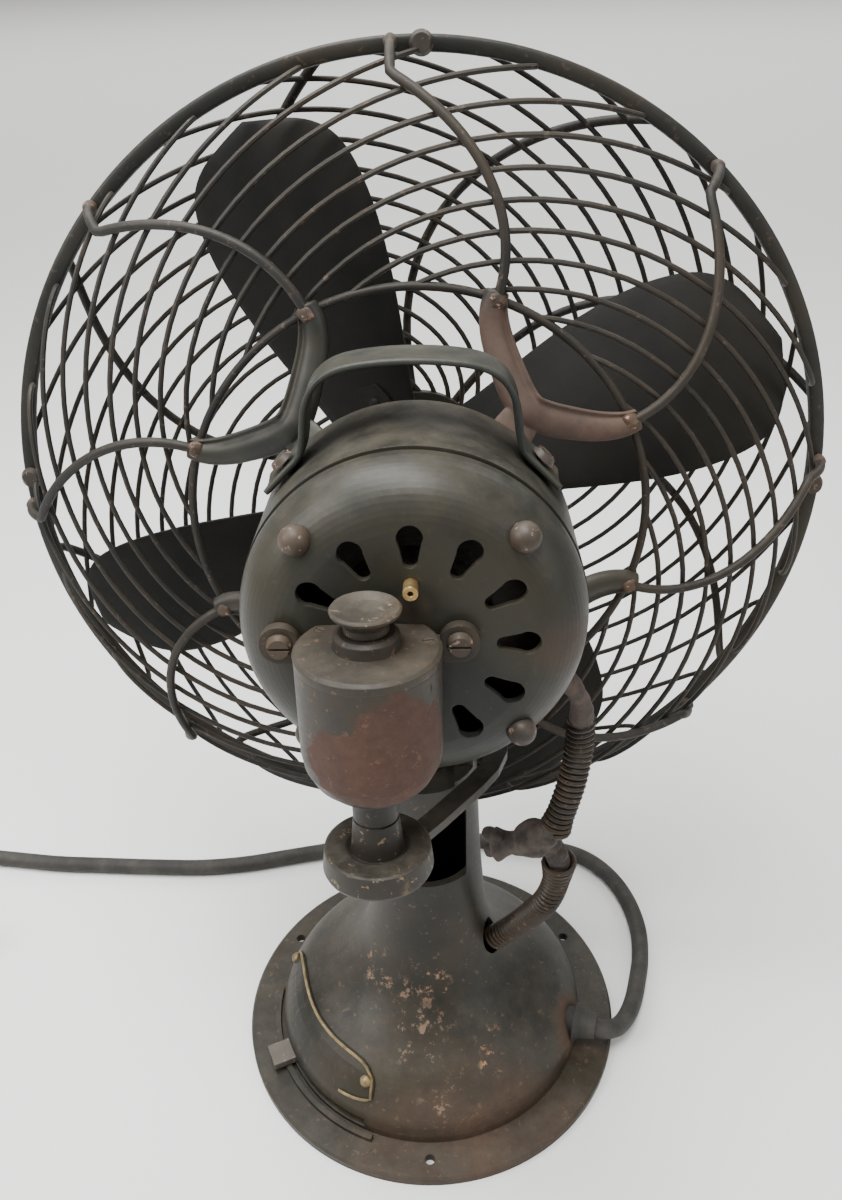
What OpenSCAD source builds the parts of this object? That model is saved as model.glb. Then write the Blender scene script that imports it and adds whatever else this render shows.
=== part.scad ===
// Oscillating desk fan: cast base and column, tilting neck, swinging motor head with a
// rear oscillator gearbox, four blades in a spiral wire guard, and a rubber mains cord.
// Millimetres. +Z is up, the air leaves towards -Y, the motor's rear faces +Y.
// The origin is the centre of the base where it stands.

/* [Base and column] */
// Radius of the round base flange
base_r = 118; // [114:1:122]
// Thickness of the base flange
flange_h = 6; // [6:0.5:8]
// Radius of the circle of the three flange holes
hole_pcr = 106; // [105:0.5:108]
// Radius of a flange hole
hole_r = 3; // [2.5:0.25:3.5]
// Height of the top of the column
column_h = 221; // [218:1:222]
// Height of the tilt bolt
tilt_z = 232.5; // [232:0.5:233]

/* [Head] */
// Tilt of the head at rest, rear end up
head_tilt = 6; // [0:1:8]
// Height of the motor's axis above the tilt bolt
neck_h = 118.4; // [118:0.2:119]
// Distance of the swivel axis behind the head's reference plane
swivel_y = 24.7; // [24:0.1:25]
// Radius of the motor drum
drum_r = 76; // [75:0.5:77]
// Front edge of the motor drum
drum_front = 34; // [33:1:36]
// Joint line between the drum and its rear cover
seam_y = 97; // [96:0.5:98]
// Flat rear face of the rear cover
rear_y = 126; // [125:0.5:127]

/* [Guard and blades] */
// Outer radius of the guard rim
rim_r = 225; // [222:1:228]
// Rear face of the guard rim
rim_y = -61; // [-63:1:-59]
// Radius of the guard's rear inner ring
ring_r = 118.4; // [116:0.4:120]
// Plane of the guard's rear inner ring
ring_y = -10; // [-12:1:-9]
// Number of thin wires in each half of the guard
wire_count = 24; // [18:1:24]
// Radius of a thin guard wire
wire_r = 1.5; // [1.2:0.1:1.8]
// Radius of a thick guard strut
strut_r = 2.6; // [2.2:0.2:3]
// Radius of the blade tips
blade_r = 205; // [195:1:207]
// Rest angle of the first blade, seen from behind
blade_a = 113; // [100:1:125]

/* [Oscillator] */
// Gearbox axis, sideways from the motor's axis
gear_x = 17.3; // [17:0.1:18]
// Gearbox axis, behind the swivel axis
gear_y = 144.3; // [143.5:0.1:145]
// Radius of the gearbox case
case_r = 29.7; // [29:0.1:30.5]
// Radius of the crank disc
disc_r = 24.5; // [23:0.5:25.5]

/* [Cord] */
// Diameter of the mains cord
cord_d = 11.5; // [11:0.5:12]

/* [Hidden] */
$fn = 96;
fit = 0.05;
gap = 0.3;

// Enamels and metals
enamel = [0.17, 0.17, 0.155];
rusty = [0.33, 0.24, 0.18];
black = [0.07, 0.07, 0.07];
steel = [0.55, 0.53, 0.5];
brass = [0.72, 0.58, 0.32];
copper = [0.62, 0.34, 0.2];
rubber = [0.15, 0.14, 0.12];

// Base and column
shell = 4;
foot_r = 96;
column_top_r = 29.5;
window_w = 46;
window_z = [152, 202];
stem_r = 19;
slot_a = [-2, 66];
slot_z = [9, 15.5];
lever_a = 24;
lever_z = 12.5;
lever_t = 3;
cover_z = 2;
cover_t = 1.6;
post_r = 5;
exit_a = 163.5;
exit_z = 23;
lead_hole = [-38, 11, 86];
lead_dir = [140, -18];

// Neck and swivel
ear_x = [17, 28.5];
ear_r = 11.5;
lug_w = 2 * ear_x[0] - 1;
bolt_r = 5;
nut_r = 8;
nut_reach = 10.5;
collar_r = 28.5;
collar_z = [22.5, 29.5];
foot_z = [29.8, 35.7];
foot_flange_r = 26;
trunnion_r = 17;
stud_r = 8;
stud_z = 13;
anchor = [-38, -18.7];
anchor_r = 4;
rod_z = [11.9, 16.9];
rod_w = 10;
pin = [6.7, 104.4];

// Motor
wall = 3.5;
shaft_r = 4;
bolt_pcr = 65.3;
slot_r = [38, 48];
vent_angles = [-60, -30, 0, 30, 60, 90, 120, 150];

// Guard
rim_w = 8;
rim_t = 5;
hoop_t = 3;
hoop_y = rim_y - 13;
front_r = 30;
front_y = -119;
wire_twist = 106;
front_twist = 195;
front_lean = 42;
strut_twist = 22;
strut_count = 8;
tip_a = 22.5;
tip_turn = 2.8;
vertex = [57, 9, 56];

// Blades
hub_r = 17;
hub_y = [-64, -40];
blade_y = -48;
blade_t = 1.5;
root_r = 32;

// Gearbox
lid_z = [5, 9.7];
neck_r = 10;
neck_z = -73;
disc_z = [-100.8, -89.4];
crank_r = 5;

// Cord: hand-laid route from the bushing to the coil
cord_r = cord_d / 2;
coil_at = [406, -62];
cord_route = [[-92, 27.3, 23], [-100, 29.7, 22.5], [-109, 30.5, 20], [-118, 26, 16],
              [-126, 15, 11.5], [-132.5, 1, 8], [-138, -16, 6], [-143, -36, 5.8],
              [-145, -60, 5.8], [-141, -86, 5.8], [-131, -109, 5.8], [-114, -127, 5.8],
              [-90, -137, 5.8], [-57, -143, 5.8], [-19, -146, 5.8], [19, -146, 5.8],
              [52, -142, 5.8], [86, -135, 5.8], [114, -129, 5.8], [143, -123, 5.8],
              [176, -120, 5.8], [214, -121, 5.8], [252, -123, 5.8], [286, -125, 5.8],
              [324, -130, 5.8], [364, -135, 5.8], [406, -137, 5.8]];
coil_r = [40.5, 80.8];
plug_a = 130;
plug_pcr = 60;
plug_r = 14;
plug_l = 40;

// Motor lead, its two spring sleeves and the taped splice (Y is towards the rear)
lead_route = [[-62, 48, 314], [-73, 48, 306], [-79, 42, 291], [-79.8, 36, 279]];
spring_up_route = [[-80, 34, 275], [-80, 36, 258], [-77, 41, 241], [-73, 43.5, 227],
                   [-70.3, 44.7, 217.3]];
splice_route = [[-69, 45, 212], [-60, 41, 200], [-46, 37, 191]];
splice_low = [[-62, 41, 200], [-69, 40, 191], [-72, 39, 180]];
spring_low_route = [[-72, 39, 180], [-72, 38, 163], [-68, 36, 146], [-61, 27, 124],
                    [-52, 16, 100], [-38, 11, 82]];
lead_r = 6;
spring_r = 8;

// Place children on the tilted neck: the tilt bolt is the origin and the swivel axis is Z
module in_neck() translate([0, 0, tilt_z]) rotate([head_tilt, 0, 0]) children();

// Place children in the head, with the motor's axis along Y
module in_head() in_neck() translate([0, -swivel_y, neck_h]) children();

// Turn a radius-and-position outline about the motor's axis
module lathe_y(outline) rotate([-90, 0, 0]) rotate_extrude() polygon(outline);

// A round bar along the motor's axis
module bar_y(r, y0, y1) translate([0, y0, 0]) rotate([-90, 0, 0]) cylinder(r = r, h = y1 - y0);

// A point at an angle seen from behind, a radius and a depth
function rear_point(a, r, y) = [-r * cos(a), y, r * sin(a)];

function unit(v) = v / norm(v);

// Direction of a path at point i
function heading(path, i) = unit(path[min(i + 1, len(path) - 1)] - path[max(i - 1, 0)]);

// Catmull-Rom curve through the points, with n steps in each span
function curve_at(p, i, t) = let (
    a = p[max(i - 1, 0)], b = p[i], c = p[i + 1], d = p[min(i + 2, len(p) - 1)])
    0.5 * (2 * b + (c - a) * t + (2 * a - 5 * b + 4 * c - d) * t * t
           + (3 * b - a - 3 * c + d) * t * t * t);
function curve(p, n) = concat(
    [for (i = [0 : len(p) - 2]) for (k = [0 : n - 1]) curve_at(p, i, k / n)], [p[len(p) - 1]]);

// Round tube swept along a path; each side vector fixes how a ring is turned
module sweep(path, side, r, sides) {
    rings = len(path);
    points = [for (i = [0 : rings - 1]) let (
                  t = heading(path, i),
                  n = unit(cross(t, side[i])),
                  b = cross(t, n))
              for (k = [0 : sides - 1]) let (a = 360 * k / sides)
                  path[i] + r * (cos(a) * n + sin(a) * b)];
    walls = [for (i = [0 : rings - 2]) for (k = [0 : sides - 1]) let (
                 k2 = (k + 1) % sides, p = i * sides, q = p + sides)
             each [[p + k, q + k, q + k2], [p + k, q + k2, p + k2]]];
    ends = [[for (k = [0 : sides - 1]) k],
            [for (k = [sides - 1 : -1 : 0]) (rings - 1) * sides + k]];
    polyhedron(points = points, faces = concat(walls, ends), convexity = 6);
}

function repeat(v, n) = [for (i = [1 : n]) v];

// ---------- base ----------
dome_profile = [[96, 11.5], [94.5, 21], [90, 30.5], [83, 40], [72.5, 49], [61, 57.5],
                [51, 67], [44, 77], [39, 88.5], [35.7, 103], [33.8, 122], [31.8, 152],
                [30.4, 190], [column_top_r, column_h]];
module dome_outline(inset) polygon(concat(
    [[0, flange_h - 2], [foot_r - inset, flange_h - 2]],
    [for (p = curve(dome_profile, 4)) [p[0] - inset, p[1]]], [[0, column_h]]));

module sector(r, a0, a1, z0, z1)
    translate([0, 0, z0]) linear_extrude(z1 - z0)
        polygon(concat([[0, 0]], [for (i = [0 : 16]) let (a = a0 + (a1 - a0) * i / 16)
            [r * cos(a), r * sin(a)]]));

module base_casting() color(enamel) difference() {
    union() {
        rotate_extrude() polygon([[0, 0], [base_r, 0], [base_r, flange_h - 1.5],
                                  [base_r - 1.5, flange_h], [0, flange_h]]);
        rotate_extrude() dome_outline(0);
        difference() {
            translate([0, 0, flange_h - 1]) cylinder(r = 102, h = 4);
            cylinder(r = 98.5, h = 30);
            sector(140, slot_a[1] + 4, slot_a[0] + 356, 0, 40);
        }
    }
    // Hollow dome and column, with a solid collar at the top that holds the column head
    difference() {
        rotate_extrude() dome_outline(shell);
        translate([0, 0, window_z[1]]) cylinder(r = 60, h = 60);
    }
    translate([0, 0, -1]) cylinder(r = foot_r - shell, h = flange_h + 2);
    translate([0, 0, 150]) cylinder(r = stem_r, h = 100);
    // Rear window of the column
    translate([-window_w / 2, 0, window_z[0]]) cube([window_w, 60, window_z[1] - window_z[0]]);
    // Arc slot for the speed lever
    sector(140, slot_a[0], slot_a[1], slot_z[0], slot_z[1]);
    // Screw holes in the flange
    for (a = [90, 210, 330])
        translate([hole_pcr * cos(a), hole_pcr * sin(a), -1]) cylinder(r = hole_r, h = 20);
    // Cord outlet and the hole for the motor lead
    rotate([0, 0, exit_a]) translate([60, 0, exit_z]) rotate([0, 90, 0]) cylinder(r = 9, h = 60);
    translate(lead_hole) rotate([0, lead_dir[0], lead_dir[1]]) translate([0, 0, -14])
        cylinder(r = 10, h = 36);
}

module bottom_cover() color(rusty) {
    translate([0, 0, cover_z]) difference() {
        cylinder(r = foot_r - shell, h = cover_t);
        for (a = [30, 150, 270]) rotate([0, 0, a]) translate([60, 0, -1]) cylinder(r = 4, h = 4);
    }
    // Post for the speed lever
    translate([0, 0, cover_z]) cylinder(r = post_r, h = 13);
    translate([0, 0, cover_z]) cylinder(r = 9, h = lever_z - lever_t - cover_z - gap);
}

module column_head() color(enamel) difference() {
    union() {
        translate([0, 0, window_z[1] - 6]) cylinder(r = stem_r, h = column_h - window_z[1] + 7);
        translate([0, 0, column_h]) cylinder(r = column_top_r, h = 3);
        for (s = [-1, 1]) intersection() {
            cylinder(r = column_top_r, h = 400);
            union() {
                translate([s > 0 ? ear_x[0] : -ear_x[1], -ear_r, column_h])
                    cube([ear_x[1] - ear_x[0], 2 * ear_r, tilt_z - column_h]);
                translate([s * ear_x[0], 0, tilt_z]) rotate([0, s * 90, 0])
                    cylinder(r = ear_r, h = ear_x[1] - ear_x[0]);
            }
        }
    }
    translate([-60, 0, tilt_z]) rotate([0, 90, 0]) cylinder(r = bolt_r + fit, h = 120);
    translate([0, 0, column_h - 6]) cylinder(r = ear_x[0] - 2, h = 60);
    translate([-ear_x[0], -50, column_h]) cube([2 * ear_x[0], 100, 40]);
    translate([0, 0, 100]) cylinder(r = 7, h = 200);
}

module tilt_bolt() color(steel) translate([0, 0, tilt_z]) rotate([0, 90, 0]) {
    translate([0, 0, -29]) cylinder(r = bolt_r, h = 65);
    translate([0, 0, -34]) cylinder(r = 8.5, h = 5.2);
}

module tilt_nut() color(rusty) difference() {
    translate([28.8, 0, tilt_z]) rotate([0, 90, 0]) {
        cylinder(r = nut_r, h = 6);
        for (s = [-1, 1]) translate([s > 0 ? 6 : -nut_reach, -2, 1.2]) cube([nut_reach - 6, 4, 2.5]);
    }
    translate([20, 0, tilt_z]) rotate([0, 90, 0]) cylinder(r = bolt_r + fit, h = 40);
}

// Blank crescent plate on the dome above the speed slot
plate_a = [-13, 69];
plate_mid = 0.54;
dome_line = [[96.1, 13.5], [94.3, 21.5], [90, 30.5], [83, 40], [74.2, 47.7]];
function dome_at(s, lift) = let (
    c = curve_at(dome_line, min(floor(s * 4), 3), s * 4 - min(floor(s * 4), 3)),
    d = curve_at(dome_line, min(floor(s * 4), 3), s * 4 - min(floor(s * 4), 3) + 0.01),
    n = unit([d[1] - c[1], c[0] - d[0]])) c + lift * n;
function on_dome(a, s, lift) = let (p = dome_at(s, lift)) [p[0] * cos(a), p[0] * sin(a), p[1]];

// Upper and lower edges of the crescent, as places up the dome at a fraction along it
function crescent_top(u) = plate_mid + 0.38 * sqrt(1 - pow(abs(2 * u - 1), u < 0.5 ? 3 : 8));
function crescent_low(u) = plate_mid - (0.04 + 0.17 * u) * sqrt(1 - pow(abs(2 * u - 1), 4));
function plate_angle(u) = plate_a[0] + (plate_a[1] - plate_a[0]) * u;

module speed_plate() color(black) {
    cols = 20;
    rows = 4;
    grid = [for (lift = [0.3, 1.2]) for (i = [0 : cols]) for (j = [0 : rows]) let (
                u = 0.01 + 0.98 * i / cols, low = crescent_low(u), top = crescent_top(u))
            on_dome(plate_angle(u), low + (top - low) * j / rows, lift)];
    m = rows + 1;
    layer = (cols + 1) * m;
    skin = [for (i = [0 : cols - 1]) for (j = [0 : rows - 1]) let (p = i * m + j) each [
                [p, p + 1, p + m + 1], [p, p + m + 1, p + m],
                [layer + p, layer + p + m + 1, layer + p + 1],
                [layer + p, layer + p + m, layer + p + m + 1]]];
    rim = concat([for (i = [0 : cols - 1]) i * m],
                 [for (j = [0 : rows - 1]) cols * m + j],
                 [for (i = [cols : -1 : 1]) i * m + rows],
                 [for (j = [rows : -1 : 1]) j]);
    edge = [for (k = [0 : len(rim) - 1]) let (p = rim[k], q = rim[(k + 1) % len(rim)])
            each [[p, q, layer + q], [p, layer + q, layer + p]]];
    polyhedron(points = grid, faces = [for (f = concat(skin, edge)) [f[2], f[1], f[0]]]);
}

module plate_border() color(brass) {
    steps = 22;
    turn_back = 8;
    path = concat(
        [for (i = [0 : steps]) let (u = 0.02 + 0.95 * i / steps)
            on_dome(plate_angle(u), crescent_top(u) - 0.03, 1.6)],
        [for (i = [0 : turn_back]) let (u = 0.985 - 0.16 * i / turn_back)
            on_dome(plate_angle(u), crescent_low(u) + 0.03, 1.6)]);
    sweep(path, [for (p = path) [p[0], p[1], 40]], 0.9, 6);
}

plate_screw_at = [[-9, 0.58], [64.4, 0.69]];
module plate_screws() color(brass) for (p = plate_screw_at)
    translate(on_dome(p[0], p[1], 1.2)) rotate([0, 54, p[0]]) {
        cylinder(r = 3.4, h = 1.2);
        translate([0, 0, -8]) cylinder(r = 1.4, h = 9);
        translate([0, 0, -0.6]) intersection() {
            sphere(r = 3.8);
            translate([0, 0, 1]) cylinder(r = 3.4, h = 5);
        }
    }

module switch_block() color([0.3, 0.28, 0.25]) difference() {
    sector(82, 2, 62, cover_z + cover_t, 8);
    translate([0, 0, -1]) cylinder(r = 50, h = 20);
}

module switch_contacts() color(brass) for (a = [8, 24, 40, 56])
    rotate([0, 0, a]) translate([74, 0, 8]) cylinder(r = 4, h = 1.2);

// Choke coil that slows the motor: an iron ring core with a winding on each long limb
choke = [-66, -48];
choke_size = [52, 40, 24];
module choke_core() color(rusty) translate([choke[0], choke[1], cover_z + cover_t]) difference() {
    cube(choke_size);
    translate([12, 10, -1]) cube([28, 20, 30]);
}

module choke_winding() color(copper)
    for (y = [choke[1] - 7, choke[1] + choke_size[1]])
        translate([choke[0] + 12, y, cover_z + cover_t + 3]) cube([28, 7, 18]);

module cord_bushing() color(rubber)
    rotate([0, 0, exit_a]) translate([86, 0, exit_z]) rotate([0, 90, 0]) difference() {
        union() {
            cylinder(r = 9, h = 11);
            translate([0, 0, 8.5]) cylinder(r1 = 12, r2 = 9.5, h = 4);
            translate([0, 0, 12]) cylinder(r1 = 9.5, r2 = 7.4, h = 10);
        }
        translate([0, 0, -1]) cylinder(r = cord_r + 0.1, h = 40);
    }

module mains_cord() color(rubber) {
    path = curve(cord_route, 1);
    sweep(path, repeat([0, 0, 1], len(path)), cord_r, 10);
}

module cord_coil() color(rubber) translate(coil_at) rotate_extrude()
    translate([coil_r[0], 0]) square([coil_r[1] - coil_r[0], cord_d]);

// The plug lies on the coil, along its turns
module at_plug() translate([coil_at[0], coil_at[1], cord_d + plug_r]) rotate([0, 0, plug_a])
    translate([plug_pcr, 0, 0]) rotate([-90, 0, 0]) children();

module plug() color(black) at_plug() {
    cylinder(r1 = 8, r2 = plug_r, h = 14);
    translate([0, 0, 14]) cylinder(r = plug_r, h = plug_l - 14);
}

module plug_pins() color(brass) at_plug() for (s = [-1, 1])
    translate([s * 6.35 - 0.75, -3.1, plug_l]) cube([1.5, 6.2, 17]);

module spring_lower() color(rusty) sweep(curve(spring_low_route, 2),
    repeat([0, 1, 0], 2 * len(spring_low_route) - 1), spring_r, 10);

module lead_splice() color(rubber) {
    sweep(curve(splice_route, 2), repeat([0, 1, 0], 2 * len(splice_route) - 1), 10, 10);
    sweep(splice_low, repeat([0, 1, 0], len(splice_low)), lead_r, 10);
}

// ---------- speed lever ----------
module speed_lever() color(rusty) difference() {
    union() {
        translate([0, 0, lever_z - lever_t]) cylinder(r = 11, h = lever_t + 1);
        rotate([0, 0, lever_a]) translate([7, -5, lever_z - lever_t + 0.1])
            cube([85, 10, lever_t]);
        rotate([0, 0, lever_a]) translate([90, -7.5, lever_z - lever_t + 0.2])
            cube([19, 15, lever_t + 1.5]);
    }
    cylinder(r = post_r + fit, h = 30);
}

// ---------- tilting neck ----------
module neck_trunnion() color(enamel) in_neck() difference() {
    union() {
        translate([0, 0, collar_z[0]]) cylinder(r = collar_r, h = collar_z[1] - collar_z[0]);
        cylinder(r = trunnion_r, h = collar_z[0] + 1);
        translate([-lug_w / 2, 0, 0]) rotate([0, 90, 0]) cylinder(r = 11, h = lug_w);
        // Arm that carries the link rod's fixed pivot
        translate([anchor[0], anchor[1] - 6, rod_z[1] + 0.9]) cube([30, 12, 5.6]);
        translate([anchor[0], anchor[1], rod_z[1] + 0.4]) cylinder(r = 7, h = 7);
    }
    translate([0, 0, stud_z - 0.3]) cylinder(r = stud_r + fit, h = 60);
    translate([-60, 0, 0]) rotate([0, 90, 0]) cylinder(r = bolt_r + fit, h = 120);
    translate([anchor[0], anchor[1], -20]) cylinder(r = anchor_r, h = 60);
}

module anchor_stud() color(steel) in_neck() translate([anchor[0], anchor[1], 0]) {
    translate([0, 0, rod_z[0] - 2.5]) cylinder(r = anchor_r, h = 16);
    translate([0, 0, rod_z[0] - 3]) cylinder(r = 7, h = 2.6, $fn = 6);
}

// ---------- motor ----------
module vents(y0, y1) for (a = vent_angles) translate(rear_point(a, 0, 0)) rotate([0, a, 0])
    translate([0, y0, 0]) rotate([-90, 0, 0]) linear_extrude(y1 - y0) {
        translate([-slot_r[1], 0]) circle(r = 5.4);
        translate([-slot_r[0], 0]) circle(r = 3.1);
        polygon([[-slot_r[1] - 0.6, 5.35], [-slot_r[0], 3.1], [-slot_r[0], -3.1],
                 [-slot_r[1] - 0.6, -5.35]]);
    }

module motor_housing() color(enamel) in_head() difference() {
    union() {
        lathe_y(concat([[0, -16], [15, -16], [17, -14], [18, -6]],
                       curve([[22, -5], [44, 2], [58, 10], [68, 19], [74, 28],
                              [drum_r, drum_front]], 4),
                       [[drum_r, seam_y - 1.2], [drum_r - 2, seam_y - 1.2],
                        [drum_r - 2, seam_y], [0, seam_y]]));
        // Swivel foot under the front shoulder
        translate([0, swivel_y, foot_z[0] - neck_h])
            cylinder(r = foot_flange_r, h = foot_z[1] - foot_z[0]);
        translate([0, swivel_y, foot_z[1] - neck_h]) cylinder(r = 21, h = 42);
        translate([-13, swivel_y, foot_z[1] + 3 - neck_h]) cube([26, 40, 12]);
    }
    lathe_y([[0, -3], [40, 5.5], [54.5, 13.5], [64, 22], [70, 30], [72, 36], [72, 200],
             [0, 200]]);
    bar_y(9, -20, 10);
    translate([0, swivel_y, -200]) cylinder(r = stud_r, h = 200);
    vents(-20, 30);
}

module swivel_stud() color(steel) in_neck() translate([0, 0, stud_z])
    cylinder(r = stud_r, h = 40);

module rear_cover() color(enamel) in_head() difference() {
    lathe_y(concat([[0, seam_y], [drum_r - 2, seam_y], [drum_r - 2, seam_y + 1.2],
                    [drum_r - 0.6, seam_y + 2]],
                   curve([[drum_r - 0.6, 104], [74, 110], [70.5, 116], [65, 121], [58, 124.5],
                          [51, rear_y]], 3),
                   [[0, rear_y]]));
    lathe_y([[0, 0], [72, 0], [72, 104], [70, 109], [66.5, 113.5], [61, 117.5], [55, 120.5],
             [49, rear_y - wall], [14, rear_y - wall], [14, 112], [0, 112]]);
    bar_y(9, 100, 200);
    vents(100, 140);
    translate([0, 0, 27.5]) bar_y(3.2, 100, 140);
    for (a = [45, 135, 225, 315]) translate(rear_point(a, bolt_pcr, 0)) bar_y(2.5, 90, 140);
    for (x = [-19.6, 54.6]) translate([x, 0, 3]) bar_y(2.5, 118, 140);
}

module cover_bolts() color(rusty) in_head() for (a = [45, 135, 225, 315])
    translate(rear_point(a, bolt_pcr, 0)) {
        bar_y(2.5, 100, 126);
        translate([0, 122, 0]) sphere(r = 6.6);
    }

module stator_core() color([0.35, 0.33, 0.31]) in_head() difference() {
    bar_y(72, 42, 88);
    bar_y(31, 0, 100);
    for (a = [0 : 30 : 330]) rotate([0, a, 0]) translate([40, 0, 0]) bar_y(5, 0, 100);
}

module stator_windings() color(copper) in_head() {
    lathe_y([[35, 30], [62, 33], [62, 41.7], [35, 41.7]]);
    lathe_y([[35, 88.3], [62, 88.3], [62, 98], [35, 104]]);
}

module shaft_bearings() color(brass) in_head() for (y = [[-15, 0], [112.5, 125]]) difference() {
    bar_y(9, y[0], y[1]);
    bar_y(shaft_r + fit, -40, 150);
}

module oiler() color(brass) in_head() translate([0, 0, 27.5]) difference() {
    bar_y(3.15, 112, 134);
    bar_y(1.2, 128, 140);
}

// Strap handle over the drum
handle_y = [50, 74];
strap = [[0, 103.5], [18, 102.8], [30, 100], [39, 94.5], [44, 86.5], [45.6, 77],
         [46.2, 68], [49.4, 62.2], [62.2, 49.4]];
function strap_normal(i) = let (
    a = strap[max(i - 1, 0)], b = strap[min(i + 1, len(strap) - 1)], d = unit(b - a))
    [-d[1], d[0]];
module strap_half() rotate([90, 0, 0]) linear_extrude(handle_y[1] - handle_y[0])
    polygon(concat([for (i = [0 : len(strap) - 1]) strap[i] + 1.6 * strap_normal(i)],
                   [for (i = [len(strap) - 1 : -1 : 0]) strap[i] - 1.6 * strap_normal(i)]));
module handle() color(enamel) in_head() difference() {
    union() {
        translate([0, handle_y[1], 0]) strap_half();
        mirror([1, 0, 0]) translate([0, handle_y[1], 0]) strap_half();
    }
    for (s = [-1, 1]) rotate([0, s * 45, 0]) translate([0, 62, 60]) cylinder(r = 2.6, h = 40);
}

module handle_screws() color(rusty) in_head() for (s = [-1, 1]) rotate([0, s * 45, 0])
    translate([0, 62, 0]) {
        translate([0, 0, drum_r - 3]) cylinder(r = 2.5, h = 9);
        translate([0, 0, drum_r + 5.2]) difference() {
            cylinder(r1 = 6, r2 = 4.6, h = 3);
            translate([-8, -0.7, 1.6]) cube([16, 1.4, 3]);
        }
    }

// ---------- guard ----------
// Four V-shaped pairs of channel arms carry the inner ring
arm_w = 11;
arm_h = 7;
arm_groove = 3.5;
module channel_arm(from, to) {
    run = to - from;
    translate(from) rotate([0, 0, atan2(run[1], run[0])])
        rotate([0, acos(run[2] / norm(run)), 0]) difference() {
            translate([-arm_h / 2, -arm_w / 2, 0]) cube([arm_h, arm_w, norm(run) + 3]);
            translate([-arm_h / 2 - 1, -arm_w / 2 + 2.5, 12])
                cube([arm_groove + 1, arm_w - 5, norm(run) - 24]);
        }
}
module guard_brackets() color(enamel) in_head() for (q = [0 : 3])
    rotate([0, 90 * q + tip_turn, 0]) {
    near = [ring_r * cos(tip_a), ring_y, ring_r * sin(tip_a)];
    far = [ring_r * sin(tip_a), ring_y, ring_r * cos(tip_a)];
    channel_arm(vertex, near);
    channel_arm(vertex, far);
    translate(vertex) rotate([90, 0, 0]) translate([0, 0, -7]) cylinder(r = 8, h = 12);
    channel_arm([47, 4, 47], vertex);
}

module guard_rim() color(enamel) in_head() {
    lathe_y([[rim_r - rim_w, rim_y - rim_t], [rim_r - hoop_t, rim_y - rim_t],
             [rim_r - hoop_t, hoop_y], [rim_r, hoop_y], [rim_r, rim_y - 1],
             [rim_r - 1, rim_y], [rim_r - rim_w, rim_y]]);
}

module rim_bolts() color(rusty) in_head() for (a = [0, 90, 180, 270])
    translate(rear_point(a - 1.5, rim_r - 4, 0)) {
        bar_y(2, rim_y - 9, rim_y);
        translate([0, rim_y, 0]) rotate([-90, 0, 0]) cylinder(r1 = 6, r2 = 4.4, h = 3.8);
    }

module rear_ring() color(rusty) in_head() translate([0, ring_y, 0]) rotate([90, 0, 0])
    rotate_extrude() translate([ring_r, 0]) circle(r = 2.3, $fn = 32);

// Depth of the rear guard at a radius: a quarter ellipse from the ring to the rim
function rear_depth(t) = rim_y + 1.5 + (ring_y - rim_y - 1.5) * cos(90 * t);
function rear_radius(t) = ring_r + (rim_r - rim_w + 1 - ring_r) * sin(90 * t);
function rear_wire(a, t, twist) = let (f = sin(90 * t))
    rear_point(a - twist * f, rear_radius(t), rear_depth(t));

module rear_wires() color(rusty) in_head() for (i = [0 : wire_count - 1]) {
    a = 360 * i / wire_count;
    steps = 13;
    sweep([for (k = [0 : steps]) rear_wire(a, k / steps, wire_twist)],
          [for (k = [0 : steps]) rear_point(a - wire_twist * sin(90 * k / steps), 1, 0)],
          wire_r, 6);
}

// Thick struts start radially at the bracket tips and bend sideways near the rim
function strut_bend(t) = pow(min(1, sin(90 * t) / 0.88), 1.9);
module rear_struts() color(rusty) in_head() for (i = [0 : strut_count - 1]) {
    a = tip_a + tip_turn + 45 * i;
    steps = 12;
    lift = wire_r + strut_r;
    sweep([for (k = [0 : steps]) let (t = k / steps) rear_point(
               a + strut_twist * strut_bend(t), rear_radius(t) + lift * sin(90 * t),
               rear_depth(t) + lift * cos(90 * t))],
          [for (k = [0 : steps]) rear_point(a + 90 + strut_twist * strut_bend(k / steps), 1, 0)],
          strut_r, 8);
}

// Front guard: flatter, wound the other way, closed by a small plain badge
function front_depth(t) = rim_y - 8 + (front_y - rim_y + 8) * cos(90 * t);
function front_radius(t) = front_r - 4 + (rim_r - rim_w + 3 - front_r) * sin(90 * t);
module front_wires() color(rusty) in_head() for (i = [0 : wire_count - 1]) {
    a = 360 * (i + 0.5) / wire_count;
    steps = 22;
    sweep([for (k = [0 : steps]) let (t = k / steps) rear_point(
               a + front_twist * sin(90 * t), front_radius(t), front_depth(t))],
          [for (k = [0 : steps]) rear_point(a + front_twist * sin(90 * k / steps), 1, 0)],
          wire_r, 6);
}

module front_struts() color(rusty) in_head() for (i = [0 : strut_count - 1]) {
    a = 45 * i + 8;
    steps = 12;
    lift = wire_r + strut_r;
    sweep([for (k = [0 : steps]) let (t = k / steps) rear_point(
               a - front_lean * pow(sin(90 * t), 2), front_radius(t) - 3 + lift * sin(90 * t) * 0.2,
               front_depth(t) - lift * cos(90 * t))],
          [for (k = [0 : steps]) rear_point(a + 90 - front_lean * pow(sin(90 * k / steps), 2), 1, 0)],
          strut_r, 8);
}

module front_badge() color(enamel) in_head() lathe_y([[0, front_y - 9], [20, front_y - 8],
    [32, front_y - 5], [35, front_y - 2], [35, front_y + 3], [0, front_y + 3]]);

// ---------- oscillator ----------
module in_gearbox() in_head() translate([gear_x, gear_y, 0]) children();

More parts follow.
